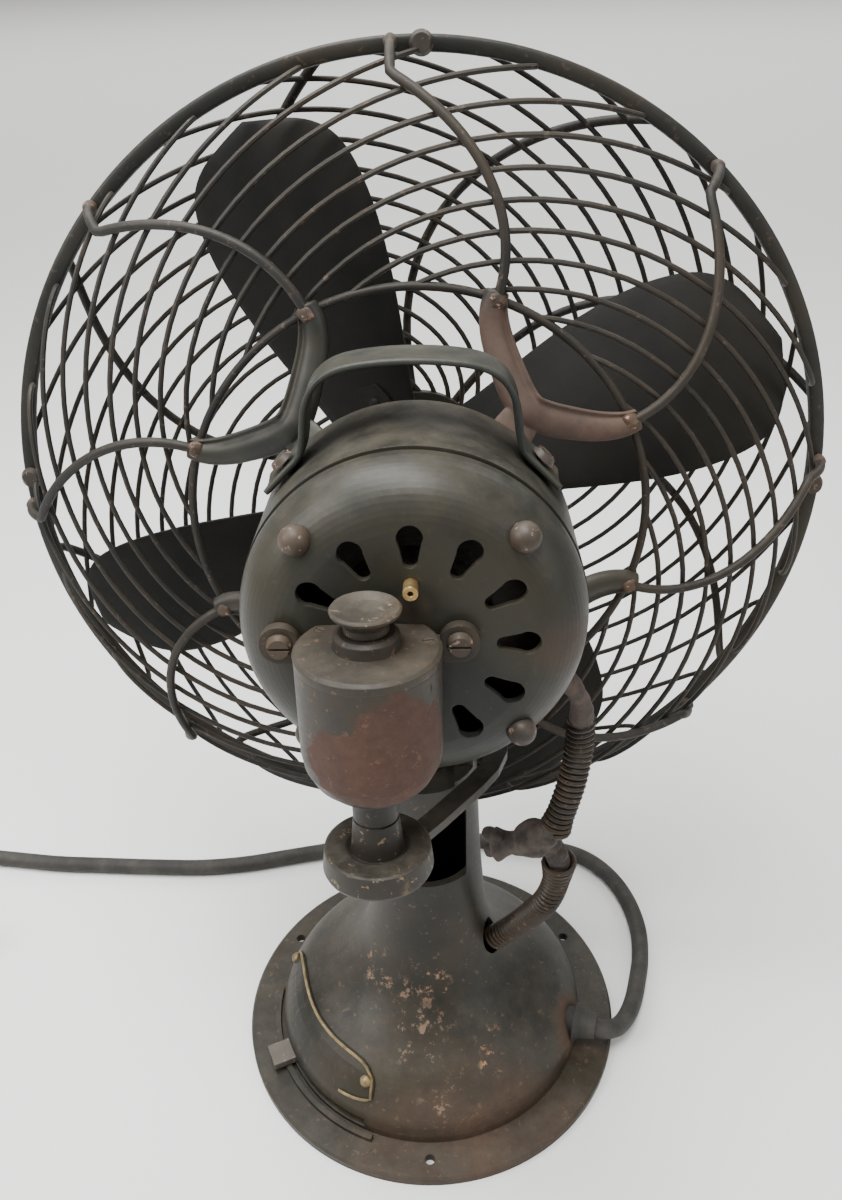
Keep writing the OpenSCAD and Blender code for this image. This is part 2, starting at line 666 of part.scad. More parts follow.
module gearbox_case() color(rusty) difference() {
    union() {
        in_gearbox() rotate_extrude() polygon([
            [0, lid_z[0]], [case_r, lid_z[0]], [case_r, -36], [28.6, -43], [25.4, -49.5],
            [20.5, -54.5], [14.5, -58], [neck_r, -61], [neck_r, neck_z], [0, neck_z]]);
        // Ear plate screwed to the rear cover
        in_head() translate([0, rear_y + gap, 0]) rotate([-90, 0, 0]) linear_extrude(5) {
            translate([-19.6, -3]) circle(r = 8.5);
            translate([54.6, -3]) circle(r = 8.5);
            translate([-19.6, -lid_z[0]]) square([74.2, 10.5]);
        }
    }
    in_head() translate([-100, rear_y + gap - 60, -100]) cube([200, 60, 200]);
    in_gearbox() rotate_extrude() polygon([
        [0, 10], [case_r - 4, 10], [case_r - 4, -34], [20, -48], [12, -52], [0, -52]]);
    in_gearbox() translate([0, 0, -100]) cylinder(r = crank_r + fit, h = 80);
    in_head() bar_y(8, 100, 160);
    in_head() for (x = [-19.6, 54.6]) translate([x, 0, 3]) bar_y(2.5, 100, 160);
}

module gearbox_lid() color(enamel) in_gearbox() difference() {
    rotate_extrude() polygon([
        [0, lid_z[0]], [case_r, lid_z[0]], [case_r + 0.3, 8.4], [case_r - 1.2, lid_z[1]],
        [14, 10.6], [13.2, 15.6], [11.5, 17], [0, 17]]);
    cylinder(r = 4 + fit, h = 40);
    translate([-100, rear_y + gap - gear_y - 60, -50]) cube([200, 60, 100]);
    for (a = [-35, 190]) rotate([0, 0, a]) translate([24.5, 0, 8.8]) cylinder(r = 2.2, h = 5);
}

module lid_screws() color(rusty) in_gearbox() for (a = [-35, 190]) rotate([0, 0, a])
    translate([24.5, 0, 8.8]) difference() {
        cylinder(r = 2.15, h = 1.2);
        translate([-3, -0.35, 0.6]) cube([6, 0.7, 2]);
    }

module gearbox_screws() color(rusty) in_head() for (x = [-19.6, 54.6]) translate([x, 0, 3]) {
    bar_y(2.45, 119, 132);
    translate([0, rear_y + gap + 5, 0]) rotate([-90, 0, 0]) difference() {
        cylinder(r1 = 5.6, r2 = 4.4, h = 3.4);
        translate([-8, -0.6, 2.2]) cube([16, 1.2, 3]);
    }
}

module crank_shaft() color(steel) in_gearbox() translate([0, 0, -88]) cylinder(r = crank_r, h = 91);

module worm_wheel() color(brass) in_gearbox() difference() {
    translate([0, 0, -3.5]) linear_extrude(7) polygon([for (i = [0 : 95]) let (
        r = (i % 4 < 2) ? 12.7 : 11.7) [r * cos(3.75 * i), r * sin(3.75 * i)]]);
    translate([0, 0, -20]) cylinder(r = crank_r, h = 60);
}

module crank_disc() color(rusty) in_gearbox() difference() {
    rotate_extrude() polygon([
        [0, -74], [10, -74], [11.8, disc_z[1] - 1.2], [14, disc_z[1] - 0.2],
        [22.4, disc_z[1]], [23.4, disc_z[1] - 0.6], [disc_r, disc_z[0] + 1.5],
        [disc_r - 0.6, disc_z[0]], [0, disc_z[0]]]);
    translate([0, 0, -88]) cylinder(r = crank_r, h = 60);
}

// Bent strap from the anchor stud to the crank, passing beside the neck
rod_path = [[-38.3, -14.5], [-39.5, -1], [-40.4, 17], [-39.2, 33], [-34.6, 47], [-27.4, 59],
            [-18, 72], [-8, 85.8], [1, 97.3], [4.3, 101.5]];
function rod_normal(i) = let (d = unit(rod_path[min(i + 1, len(rod_path) - 1)]
                                       - rod_path[max(i - 1, 0)])) [-d[1], d[0]];
module link_rod() color(rusty) in_neck() translate([0, 0, rod_z[0]]) difference() {
    union() {
        linear_extrude(rod_z[1] - rod_z[0]) polygon(concat(
            [for (i = [0 : len(rod_path) - 1]) rod_path[i] + rod_w / 2 * rod_normal(i)],
            [for (i = [len(rod_path) - 1 : -1 : 0]) rod_path[i] - rod_w / 2 * rod_normal(i)]));
        translate(anchor) cylinder(r = 7.6, h = rod_z[1] - rod_z[0]);
        translate(pin) cylinder(r = 7, h = rod_z[1] - rod_z[0]);
    }
    translate([anchor[0], anchor[1], -5]) cylinder(r = anchor_r + fit, h = 20);
    translate([pin[0], pin[1], -5]) cylinder(r = 3, h = 20);
}

module crank_screw() color(steel) in_neck() translate([pin[0], pin[1], 0]) {
    translate([0, 0, rod_z[0] - 3]) cylinder(r = 5.5, h = 3, $fn = 6);
    translate([0, 0, rod_z[0] - 1]) cylinder(r = 3, h = rod_z[1] - rod_z[0] + 1.2);
}

module clutch_knob() color(rusty) in_gearbox() rotate_extrude() polygon([
    [0, 4.6], [4, 4.6], [4, 17.4], [9.2, 17.4], [9.2, 20.5], [10.6, 22.6], [14, 25.2],
    [14.5, 26.6], [13.6, 27.7], [9, 26], [0, 25.2]]);

// ---------- rotor ----------
module rotor_shaft() color(steel) in_head() {
    bar_y(shaft_r, -62, 154);
    bar_y(4.3, 134, 153);
}

module rotor_core() color([0.4, 0.38, 0.36]) in_head() difference() {
    bar_y(30, 44, 86);
    bar_y(shaft_r, 0, 100);
}

module blade_hub() color(black) in_head() difference() {
    union() {
        bar_y(hub_r, hub_y[0], hub_y[1]);
        for (i = [0 : 3]) rotate([0, blade_a - 90 * i - 90, 0]) translate([0, blade_y + 1, 0])
            rotate([0, 0, -30]) translate([-9, -3.2, 8]) cube([18, 2.4, 52]);
    }
    bar_y(shaft_r, -90, 0);
    bar_y(12, hub_y[0] + 8, hub_y[1] + 1);
}

// Half width of a blade at a radius, its pitch, and a point on its cambered surface
function blade_half(r) = let (f = (r - root_r) / (blade_r - root_r))
    (26 + 24.5 * pow(sin(90 * min(1, f * 1.35)), 1.3)) * sqrt(max(0.012, 1 - pow(f, 12)));
function blade_pitch(r) = 33 - 13 * (r - root_r) / (blade_r - root_r);
function blade_point(r, s, side) = let (
    w = blade_half(r) * s, p = blade_pitch(r), c = 0.10 * blade_half(r) * (1 - s * s))
    [w * cos(p) + c * sin(p), blade_y - w * sin(p) + c * cos(p) + side * blade_t / 2,
     r * (1 - 0.02 * s * s)];

module blade(i) in_head() rotate([0, blade_a - 90 + 90 * i, 0]) {
    rows = 16;
    cols = 8;
    m = cols + 1;
    layer = (rows + 1) * m;
    points = [for (side = [-1, 1]) for (k = [0 : rows]) for (j = [0 : cols])
              blade_point(root_r + (blade_r - root_r) * sin(90 * k / rows), 2 * j / cols - 1,
                          side)];
    skin = [for (k = [0 : rows - 1]) for (j = [0 : cols - 1]) let (p = k * m + j) each [
                [p, p + 1, p + m + 1], [p, p + m + 1, p + m],
                [layer + p, layer + p + m + 1, layer + p + 1],
                [layer + p, layer + p + m, layer + p + m + 1]]];
    rim = concat([for (k = [0 : rows - 1]) k * m],
                 [for (j = [0 : cols - 1]) rows * m + j],
                 [for (k = [rows : -1 : 1]) k * m + cols],
                 [for (j = [cols : -1 : 1]) j]);
    edge = [for (k = [0 : len(rim) - 1]) let (p = rim[k], q = rim[(k + 1) % len(rim)])
            each [[p, q, layer + q], [p, layer + q, layer + p]]];
    color(black) polyhedron(points = points, faces = concat(skin, edge));
}
module blade_1() blade(0);
module blade_2() blade(1);
module blade_3() blade(2);
module blade_4() blade(3);

// ---------- motor lead ----------
module lead_upper() color(rubber) sweep(curve(lead_route, 2),
    repeat([0, 1, 0], 2 * len(lead_route) - 1), lead_r, 10);
module spring_upper() color(rusty) sweep(curve(spring_up_route, 2),
    repeat([0, 1, 0], 2 * len(spring_up_route) - 1), spring_r, 10);

base_casting();
bottom_cover();
column_head();
speed_plate();
plate_border();
plate_screws();
switch_block();
switch_contacts();
choke_core();
choke_winding();
cord_bushing();
mains_cord();
cord_coil();
plug();
plug_pins();
tilt_bolt();
tilt_nut();
spring_lower();
lead_splice();
speed_lever();
neck_trunnion();
anchor_stud();
motor_housing();
swivel_stud();
rear_cover();
cover_bolts();
stator_core();
stator_windings();
shaft_bearings();
oiler();
handle();
handle_screws();
guard_brackets();
guard_rim();
rim_bolts();
rear_ring();
rear_struts();
rear_wires();
front_struts();
front_wires();
front_badge();
gearbox_case();
gearbox_lid();
lid_screws();
gearbox_screws();
lead_upper();
spring_upper();
crank_shaft();
worm_wheel();
crank_disc();
link_rod();
crank_screw();
clutch_knob();
rotor_shaft();
rotor_core();
blade_hub();
blade_1();
blade_2();
blade_3();
blade_4();
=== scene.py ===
import math

import bmesh
import bpy
from mathutils import Matrix, Vector, noise


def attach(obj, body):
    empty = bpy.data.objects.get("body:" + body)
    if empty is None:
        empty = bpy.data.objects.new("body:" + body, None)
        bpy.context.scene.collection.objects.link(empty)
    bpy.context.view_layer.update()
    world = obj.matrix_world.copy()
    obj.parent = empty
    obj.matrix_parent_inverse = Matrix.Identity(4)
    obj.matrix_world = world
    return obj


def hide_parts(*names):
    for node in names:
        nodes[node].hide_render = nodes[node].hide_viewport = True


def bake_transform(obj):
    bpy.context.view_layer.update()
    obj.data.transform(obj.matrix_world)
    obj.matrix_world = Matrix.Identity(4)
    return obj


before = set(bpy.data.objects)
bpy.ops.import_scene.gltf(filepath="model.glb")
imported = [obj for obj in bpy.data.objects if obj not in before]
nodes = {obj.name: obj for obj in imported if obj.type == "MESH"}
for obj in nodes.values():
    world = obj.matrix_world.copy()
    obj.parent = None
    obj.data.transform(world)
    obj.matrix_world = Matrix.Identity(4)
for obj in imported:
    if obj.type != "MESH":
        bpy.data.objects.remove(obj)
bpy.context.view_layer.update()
MM = 0.001
rad = math.radians

# Frames, in metres: the tilted neck, whose origin is the tilt bolt, and the head
NECK = Matrix.Translation((0, 0, 0.2325)) @ Matrix.Rotation(rad(6), 4, "X")
HEAD = NECK @ Matrix.Translation((0, -0.0247, 0.1184))
BASE = Matrix.Identity(4)

# ---------- camera ----------
CAMERA_AT = (-0.01526, 0.45526, 0.62468)
CAMERA_FORWARD = (0.0255, -0.8347, -0.5501)
CAMERA_UP = (-0.0134, -0.5505, 0.8348)
CAMERA_LENS, CAMERA_SENSOR = 32.71, 36
cam_data = bpy.data.cameras.new("camera")
cam_data.lens = CAMERA_LENS
cam_data.sensor_width = CAMERA_SENSOR
cam_data.clip_start = 0.02
camera = bpy.data.objects.new("camera", cam_data)
bpy.context.scene.collection.objects.link(camera)
forward = Vector(CAMERA_FORWARD).normalized()
right = forward.cross(Vector(CAMERA_UP)).normalized()
look = Matrix((right, right.cross(forward), -forward)).transposed().to_4x4()
camera.matrix_world = Matrix.Translation(CAMERA_AT) @ look
bpy.context.scene.camera = camera


# ---------- materials ----------
class Mat:
    """A node material, built step by step. Coordinates are the piece's own, in metres."""

    def __init__(self, name):
        self.mat = bpy.data.materials.new(name)
        self.mat.use_nodes = True
        self.tree = self.mat.node_tree
        self.bsdf = self.tree.nodes["Principled BSDF"]
        self.coords = self.new("ShaderNodeTexCoord").outputs["Object"]

    def new(self, kind, **settings):
        n = self.tree.nodes.new(kind)
        for k, v in settings.items():
            setattr(n, k, v)
        return n

    def put(self, socket, value):
        if isinstance(value, bpy.types.NodeSocket):
            self.tree.links.new(value, socket)
        elif isinstance(value, tuple) and len(value) == 3 and socket.type == "RGBA":
            socket.default_value = (*value, 1)
        else:
            socket.default_value = value

    def noise(self, scale, detail=4.0, rough=0.55, stretch=None):
        n = self.new("ShaderNodeTexNoise")
        n.inputs["Scale"].default_value = scale
        n.inputs["Detail"].default_value = detail
        n.inputs["Roughness"].default_value = rough
        at = self.coords
        if stretch:
            m = self.new("ShaderNodeMapping")
            m.inputs["Scale"].default_value = stretch
            self.put(m.inputs["Vector"], at)
            at = m.outputs["Vector"]
        self.put(n.inputs["Vector"], at)
        return n.outputs["Fac"]

    def ramp(self, value, lo, hi):
        """0 below lo, 1 above hi (or the other way round if lo > hi)."""
        n = self.new("ShaderNodeMapRange", interpolation_type="SMOOTHSTEP")
        self.put(n.inputs["Value"], value)
        n.inputs["From Min"].default_value = lo
        n.inputs["From Max"].default_value = hi
        return n.outputs["Result"]

    def math(self, op, a, b=0.5):
        n = self.new("ShaderNodeMath", operation=op, use_clamp=op in ("ADD", "SUBTRACT"))
        self.put(n.inputs[0], a)
        self.put(n.inputs[1], b)
        return n.outputs[0]

    def mix(self, fac, a, b):
        n = self.new("ShaderNodeMix", data_type="RGBA")
        self.put(n.inputs[0], fac)
        self.put(n.inputs[6], a)
        self.put(n.inputs[7], b)
        return n.outputs[2]

    def facing_up(self, lo=0.2, hi=0.9):
        g = self.new("ShaderNodeNewGeometry")
        sep = self.new("ShaderNodeSeparateXYZ")
        self.put(sep.inputs[0], g.outputs["Normal"])
        return self.ramp(sep.outputs["Z"], lo, hi)

    def near(self, point, radius, soft=0.4, wobble=0.35):
        """1 close to a point of the object, 0 beyond radius, with a ragged edge."""
        sub = self.new("ShaderNodeVectorMath", operation="DISTANCE")
        self.put(sub.inputs[0], self.coords)
        sub.inputs[1].default_value = tuple(c * MM for c in point)
        d = self.new("ShaderNodeMath", operation="MULTIPLY_ADD")
        self.put(d.inputs[0], self.noise(70, 6, 0.7))
        d.inputs[1].default_value = -2 * wobble * radius * MM
        self.put(d.inputs[2], sub.outputs["Value"])
        return self.ramp(d.outputs[0], radius * MM * (1 - wobble),
                         radius * MM * (1 - wobble - soft))

    def done(self, color, rough, bump=None, strength=0.3, distance=0.0006, metallic=0.0,
             rounded=0.0, gloss=0.5):
        self.put(self.bsdf.inputs["Specular IOR Level"], gloss)
        self.put(self.bsdf.inputs["Base Color"], color)
        self.put(self.bsdf.inputs["Roughness"], rough)
        self.put(self.bsdf.inputs["Metallic"], metallic)
        if bump is not None:
            n = self.new("ShaderNodeBump")
            n.inputs["Strength"].default_value = strength
            n.inputs["Distance"].default_value = distance
            self.put(n.inputs["Height"], bump)
            if rounded:
                b = self.new("ShaderNodeBevel", samples=4)
                b.inputs["Radius"].default_value = rounded
                self.put(n.inputs["Normal"], b.outputs["Normal"])
            self.put(self.bsdf.inputs["Normal"], n.outputs["Normal"])
        return self.mat


def enamel(name, base=(0.028, 0.029, 0.025), rust=0.3, dust=0.35, patches=(), rounded=0.0008,
           rust_color=(0.05, 0.03, 0.02), shine=0.42, chips=(), gloss=0.22, soft=0.4):
    """Old dark enamel: mottled, dusty on top, worn through to rust in places."""
    m = Mat(name)
    mottled = m.mix(m.ramp(m.noise(18, 5), 0.35, 0.7), base,
                    tuple(c * 1.6 + 0.003 for c in base))
    grime = m.math("MULTIPLY", m.ramp(m.noise(9, 7, 0.7), 0.42, 0.62), 0.75)
    mottled = m.mix(grime, mottled, (base[0] * 1.9, base[1] * 1.5, base[2] * 1.05))
    fine = m.noise(420, 4, 0.7)
    worn = m.ramp(m.noise(26, 9, 0.68), 0.72 - 0.3 * rust, 0.86 - 0.3 * rust)
    for point, radius, amount in patches:
        worn = m.math("ADD", worn, m.math("MULTIPLY", m.near(point, radius, soft), amount))
    rust_mix = m.mix(m.noise(160, 6, 0.7), tuple(c * 0.55 for c in rust_color),
                     tuple(min(1, c * 1.7) for c in rust_color))
    color = m.mix(worn, mottled, rust_mix)
    specks = m.math("MULTIPLY", m.ramp(m.noise(230, 5, 0.7), 0.625 - 0.05 * rust,
                                       0.65 - 0.05 * rust), min(0.85, 1.6 * rust))
    color = m.mix(specks, color, tuple(c * 2.4 for c in rust_color))
    for point, radius, tint in chips:
        flakes = m.math("MULTIPLY", m.near(point, radius, 0.6, 0.3),
                        m.ramp(m.noise(120, 7, 0.75), 0.56, 0.6))
        color = m.mix(flakes, color, tint)
    dusty = m.math("MULTIPLY", m.facing_up(0.1, 1.0), m.ramp(m.noise(60, 8, 0.7), 0.3, 0.75))
    color = m.mix(m.math("MULTIPLY", dusty, dust), color, (0.085, 0.076, 0.06))
    rough = m.math("ADD", m.math("MULTIPLY", worn, 0.3), m.math("MULTIPLY", fine, 0.2))
    rough = m.math("ADD", rough, shine - 0.06)
    height = m.math("ADD", m.math("MULTIPLY", fine, 0.5), m.math("MULTIPLY", worn, 0.4))
    return m.done(color, rough, height, 0.35, 0.0004, rounded=rounded, gloss=gloss)


def plain(name, dark, light, rough=0.5, scale=60, metallic=0.0, bump=0.3, fine=300,
          stretch=None, rounded=0.0):
    m = Mat(name)
    color = m.mix(m.ramp(m.noise(scale, 6, 0.65, stretch), 0.35, 0.68), dark, light)
    rough_value = m.math("ADD", m.math("MULTIPLY", m.noise(fine, 4), 0.25), rough - 0.12)
    return m.done(color, rough_value, m.noise(fine, 5, 0.7, stretch), bump, 0.0005, metallic,
                  rounded)


OLIVE = (0.014, 0.0145, 0.0125)
mats = {
    "housing": enamel("housing", OLIVE, 0.12, 0.55,
                      patches=[((-60, -10, 330), 36, 0.6), ((70, 60, 350), 26, 0.4)]),
    "cover": enamel("cover", (0.014, 0.015, 0.013), 0.06, 0.4, shine=0.36,
                    patches=[((-62, 70, 300), 30, 0.6), ((-60, 75, 355), 20, 0.4),
                             ((0, 90, 378), 10, 0.3)]),
    "base": enamel("base", (0.0175, 0.0165, 0.0135), 0.22, 0.4, rust_color=(0.06, 0.038, 0.025),
                   patches=[((-30, 80, 30), 36, 0.25), ((0, 110, 8), 50, 0.45),
                            ((-95, 32, 26), 26, 0.8), ((-60, 100, 8), 50, 0.5)],
                   chips=[((30, 30, 78), 15, (0.2, 0.125, 0.075)),
                          ((14, 42, 72), 13, (0.17, 0.11, 0.07)),
                          ((-3, 43, 80), 14, (0.24, 0.15, 0.095)),
                          ((5, 60, 58), 24, (0.2, 0.13, 0.085)),
                          ((-36, 60, 50), 12, (0.26, 0.13, 0.075)),
                          ((-36, 70, 43), 9, (0.42, 0.23, 0.1)),
                          ((-12, 84, 32), 22, (0.17, 0.11, 0.075)),
                          ((-94, 34, 22), 14, (0.26, 0.13, 0.07))]),
    "bracket": enamel("bracket", OLIVE, 0.06, 0.45, rust_color=(0.066, 0.041, 0.031), soft=0.25,
                      patches=[((-62, -38, 425), 52, 0.75), ((-104, -43, 385), 26, 0.9)]),
    "handle": enamel("handle", (0.017, 0.019, 0.0165), 0.05, 0.45, shine=0.4,
                     patches=[((-57, 10, 400), 12, 0.6), ((57, 10, 400), 10, 0.4)]),
    "rim": enamel("rim", (0.0125, 0.0125, 0.011), 0.16, 0.25, rounded=0.001,
                  patches=[((120, -60, 190), 50, 0.4), ((-220, -60, 350), 40, 0.4)]),
    "wire": enamel("wire", (0.013, 0.012, 0.0105), 0.28, 0.35, rounded=0,
                   rust_color=(0.048, 0.032, 0.023), shine=0.5),
    "weld": enamel("weld", (0.035, 0.026, 0.02), 0.6, 0.3, rounded=0,
                   rust_color=(0.13, 0.08, 0.06), shine=0.6),
    "gearbox": enamel("gearbox", (0.018, 0.0165, 0.014), 0.3, 0.4, shine=0.42, soft=0.08,
                      rust_color=(0.052, 0.028, 0.02),
                      patches=[((24, 134, 336), 19, 0.9), ((2, 146, 346), 27, 0.9),
                               ((0, 150, 328), 26, 0.9), ((-8, 140, 338), 26, 0.9)]),
    "disc": enamel("disc", (0.022, 0.019, 0.015), 0.35, 0.9, rust_color=(0.11, 0.078, 0.045)),
    "knob": enamel("knob", (0.032, 0.028, 0.023), 0.3, 0.7, rust_color=(0.11, 0.08, 0.06)),
    "screw": enamel("screw", (0.03, 0.025, 0.021), 0.45, 0.4, rounded=0.0005,
                    rust_color=(0.11, 0.075, 0.055)),
    "plate": enamel("plate", (0.012, 0.0115, 0.009), 0.12, 0.3, rounded=0.0003),
    "lever": enamel("lever", (0.08, 0.07, 0.06), 0.4, 0.5, rust_color=(0.13, 0.1, 0.08)),
    "blade": enamel("blade", (0.0045, 0.0045, 0.004), 0.02, 0.05, rounded=0, shine=0.6,
                    gloss=0.16, rust_color=(0.035, 0.028, 0.022)),
    "spring": enamel("spring", (0.024, 0.018, 0.013), 0.45, 0.3, rounded=0,
                     rust_color=(0.06, 0.036, 0.023)),
    "steel": plain("steel", (0.16, 0.14, 0.12), (0.36, 0.33, 0.29), 0.42, 90, 0.9,
                   rounded=0.0004),
    "iron": plain("iron", (0.05, 0.045, 0.04), (0.16, 0.14, 0.12), 0.55, 120, 0.6),
    "brass": plain("brass", (0.42, 0.27, 0.1), (0.75, 0.56, 0.27), 0.34, 120, 0.9,
                   rounded=0.0004),
    "dull_brass": plain("dull_brass", (0.13, 0.1, 0.05), (0.3, 0.22, 0.1), 0.5, 150, 0.6),
    "varnish": plain("varnish", (0.014, 0.009, 0.006), (0.045, 0.028, 0.018), 0.45, 200, 0,
                     stretch=(1, 1, 6)),
    "cord": plain("cord", (0.014, 0.0125, 0.0105), (0.038, 0.034, 0.028), 0.72, 45, 0, 0.5, 500),
    "lead": plain("lead", (0.024, 0.015, 0.011), (0.062, 0.038, 0.028), 0.8, 80, 0, 0.8, 350),
    "tape": plain("tape", (0.016, 0.012, 0.0095), (0.06, 0.045, 0.035), 0.85, 110, 0, 1.0, 260),
    "fibre": plain("fibre", (0.14, 0.11, 0.08), (0.24, 0.2, 0.15), 0.8, 90),
    "bakelite": plain("bakelite", (0.015, 0.012, 0.01), (0.035, 0.026, 0.02), 0.3, 60,
                      rounded=0.0008),
}


# ---------- mesh helpers: lists of (points in mm, faces) ----------
def turn(angle, r, y=0.0):
    """A point of the head at an angle seen from behind."""
    return Vector((-r * math.cos(rad(angle)), y, r * math.sin(rad(angle))))


def smooth_path(points, n):
    """Catmull-Rom through the points, with n steps in each span."""
    pts = [Vector(p) for p in points]
    out = []
    for i in range(len(pts) - 1):
        a, b, c = pts[max(i - 1, 0)], pts[i], pts[i + 1]
        d = pts[min(i + 2, len(pts) - 1)]
        for k in range(n):
            t = k / n
            out.append(0.5 * (2 * b + (c - a) * t + (2 * a - 5 * b + 4 * c - d) * t * t
                              + (3 * b - a - 3 * c + d) * t ** 3))
    return out + [pts[-1]]


def frames(path):
    """Parallel-transported (tangent, side, up) along a path."""
    out = []
    side = None
    for i, p in enumerate(path):
        t = (path[min(i + 1, len(path) - 1)] - path[max(i - 1, 0)]).normalized()
        if side is None:
            side = t.orthogonal().normalized()
        side = (side - t * side.dot(t)).normalized()
        out.append((t, side, t.cross(side)))
    return out


def tube(path, r, sides=10, squash=1.0, closed=False, round_ends=True):
    """Round bar along a path; r is a number or a function of the fraction along it."""
    path = [Vector(p) for p in path]
    if round_ends and not closed:
        r0 = r(0) if callable(r) else r
        r1 = r(1) if callable(r) else r
        a, b = path[0], path[-1]
        ta = (path[1] - a).normalized()
        tb = (path[-2] - b).normalized()
        path = [a - ta * r0 * 0.45] + path + [b - tb * r1 * 0.45]
    verts, faces = [], []
    axes = frames(path)
    for i, p in enumerate(path):
        k = i / (len(path) - 1)
        rr = r(k) if callable(r) else r
        if round_ends and not closed and i in (0, len(path) - 1):
            rr *= 0.5
        _, side, up = axes[i]
        for j in range(sides):
            a = 2 * math.pi * j / sides
            verts.append(p + rr * (math.cos(a) * side + squash * math.sin(a) * up))
    rings = len(path)
    last = rings if closed else rings - 1
    for i in range(last):
        q = (i + 1) % rings
        for j in range(sides):
            j2 = (j + 1) % sides
            faces.append((i * sides + j, q * sides + j, q * sides + j2, i * sides + j2))
    if not closed:
        faces.append(tuple(range(sides)))
        faces.append(tuple((rings - 1) * sides + j for j in reversed(range(sides))))
    return verts, faces


def lathe(outline, steps=72, axis="Z", start=0.0, sweep=360.0):
    """Turned shape from (radius, height) points; radius 0 closes an end."""
    verts, faces, rows = [], [], []
    full = sweep >= 360
    columns = steps if full else steps + 1
    for r, h in outline:
        row = []
        for j in range(columns if r > 1e-6 else 1):
            a = rad(start + sweep * j / steps)
            x, y = r * math.cos(a), r * math.sin(a)
            verts.append(Vector((x, y, h)) if axis == "Z" else Vector((x, h, -y)))
            row.append(len(verts) - 1)
        rows.append(row)
    for a, b in zip(rows, rows[1:]):
        for j in range(steps):
            j2 = (j + 1) % columns
            quad = [a[j % len(a)], a[j2 % len(a)], b[j2 % len(b)], b[j % len(b)]]
            face = []
            for v in quad:
                if v not in face:
                    face.append(v)
            if len(face) > 2:
                faces.append(tuple(face))
    return verts, faces


def sweep_section(path, section, up_at):
    """A closed section (side, up) carried along a path; up_at(i, point) gives its up."""
    path = [Vector(p) for p in path]
    verts, faces = [], []
    n = len(section(0))
    for i, p in enumerate(path):
        t = (path[min(i + 1, len(path) - 1)] - path[max(i - 1, 0)]).normalized()
        up = Vector(up_at(i, p))
        up = (up - t * up.dot(t)).normalized()
        side = t.cross(up)
        for s, u in section(i / (len(path) - 1)):
            verts.append(p + side * s + up * u)
    for i in range(len(path) - 1):
        for j in range(n):
            j2 = (j + 1) % n
            faces.append((i * n + j, (i + 1) * n + j, (i + 1) * n + j2, i * n + j2))
    faces.append(tuple(range(n)))
    faces.append(tuple((len(path) - 1) * n + j for j in reversed(range(n))))
    return verts, faces


def moved(part, matrix):
    return [matrix @ v for v in part[0]], part[1]


def at(x, y, z):
    return Matrix.Translation((x, y, z))


def spin(angle, axis):
    return Matrix.Rotation(rad(angle), 4, axis)


def join(parts):
    verts, faces = [], []
    for v, f in parts:
        base = len(verts)
        verts += v
        faces += [tuple(i + base for i in face) for face in f]
    return verts, faces


def lumpy(part, amount, scale, seed):
    """Pushes points in and out by smooth noise, for tape and rough rubber."""
    verts, faces = part
    centre = sum(verts, Vector()) / len(verts)
    return [v + (v - centre).normalized() * amount
            * noise.noise(v * scale + Vector((seed, 0, 0))) for v in verts], faces


BEVEL_SEGMENTS, BEVEL_ANGLE = 3, 32


def piece(name, parts, material, body, where=BASE, stands_for=(), bevel=0.0, level=0,
          angle=40):
    """One Blender piece from mesh parts in mm, placed by a frame, riding on a body."""
    verts, faces = join(parts if isinstance(parts, list) else [parts])
    mesh = bpy.data.meshes.new(name)
    mesh.from_pydata([tuple(where @ (v * MM)) for v in verts], [], faces)
    mesh.validate()
    obj = bpy.data.objects.new(name, mesh)
    bpy.context.scene.collection.objects.link(obj)
    bm = bmesh.new()
    bm.from_mesh(mesh)
    bmesh.ops.recalc_face_normals(bm, faces=bm.faces)
    bm.to_mesh(mesh)
    bm.free()
    if bevel:
        m = obj.modifiers.new("bevel", "BEVEL")
        m.width = bevel * MM
        m.segments = BEVEL_SEGMENTS
        m.limit_method = "ANGLE"
        m.angle_limit = rad(BEVEL_ANGLE)
    if level:
        m = obj.modifiers.new("subdivision", "SUBSURF")
        m.levels = m.render_levels = level
    mesh.materials.append(mats[material])
    for p in mesh.polygons:
        p.use_smooth = True
    mesh.set_sharp_from_angle(angle=rad(angle))
    if body:
        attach(obj, body)
    if stands_for:
        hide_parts(*stands_for)
    return obj


# ---------- mains cord ----------
CORD_D = 11.5
route = [(-92, 27.3, 23), (-100, 29.7, 22.5), (-109, 30.5, 20), (-118, 26, 16),
         (-126, 15, 11.5), (-132.5, 1, 8), (-138, -16, 6), (-143, -36, 5.8),
         (-145, -60, 5.8), (-141, -86, 5.8), (-131, -109, 5.8), (-114, -127, 5.8),
         (-90, -137, 5.8), (-57, -143, 5.8), (-19, -146, 5.8), (19, -146, 5.8),
         (52, -142, 5.8), (86, -135, 5.8), (114, -129, 5.8), (143, -123, 5.8),
         (176, -120, 5.8), (214, -121, 5.8), (252, -123, 5.8), (286, -125, 5.8),
         (324, -130, 5.8), (364, -135, 5.8), (406, -137, 5.8)]
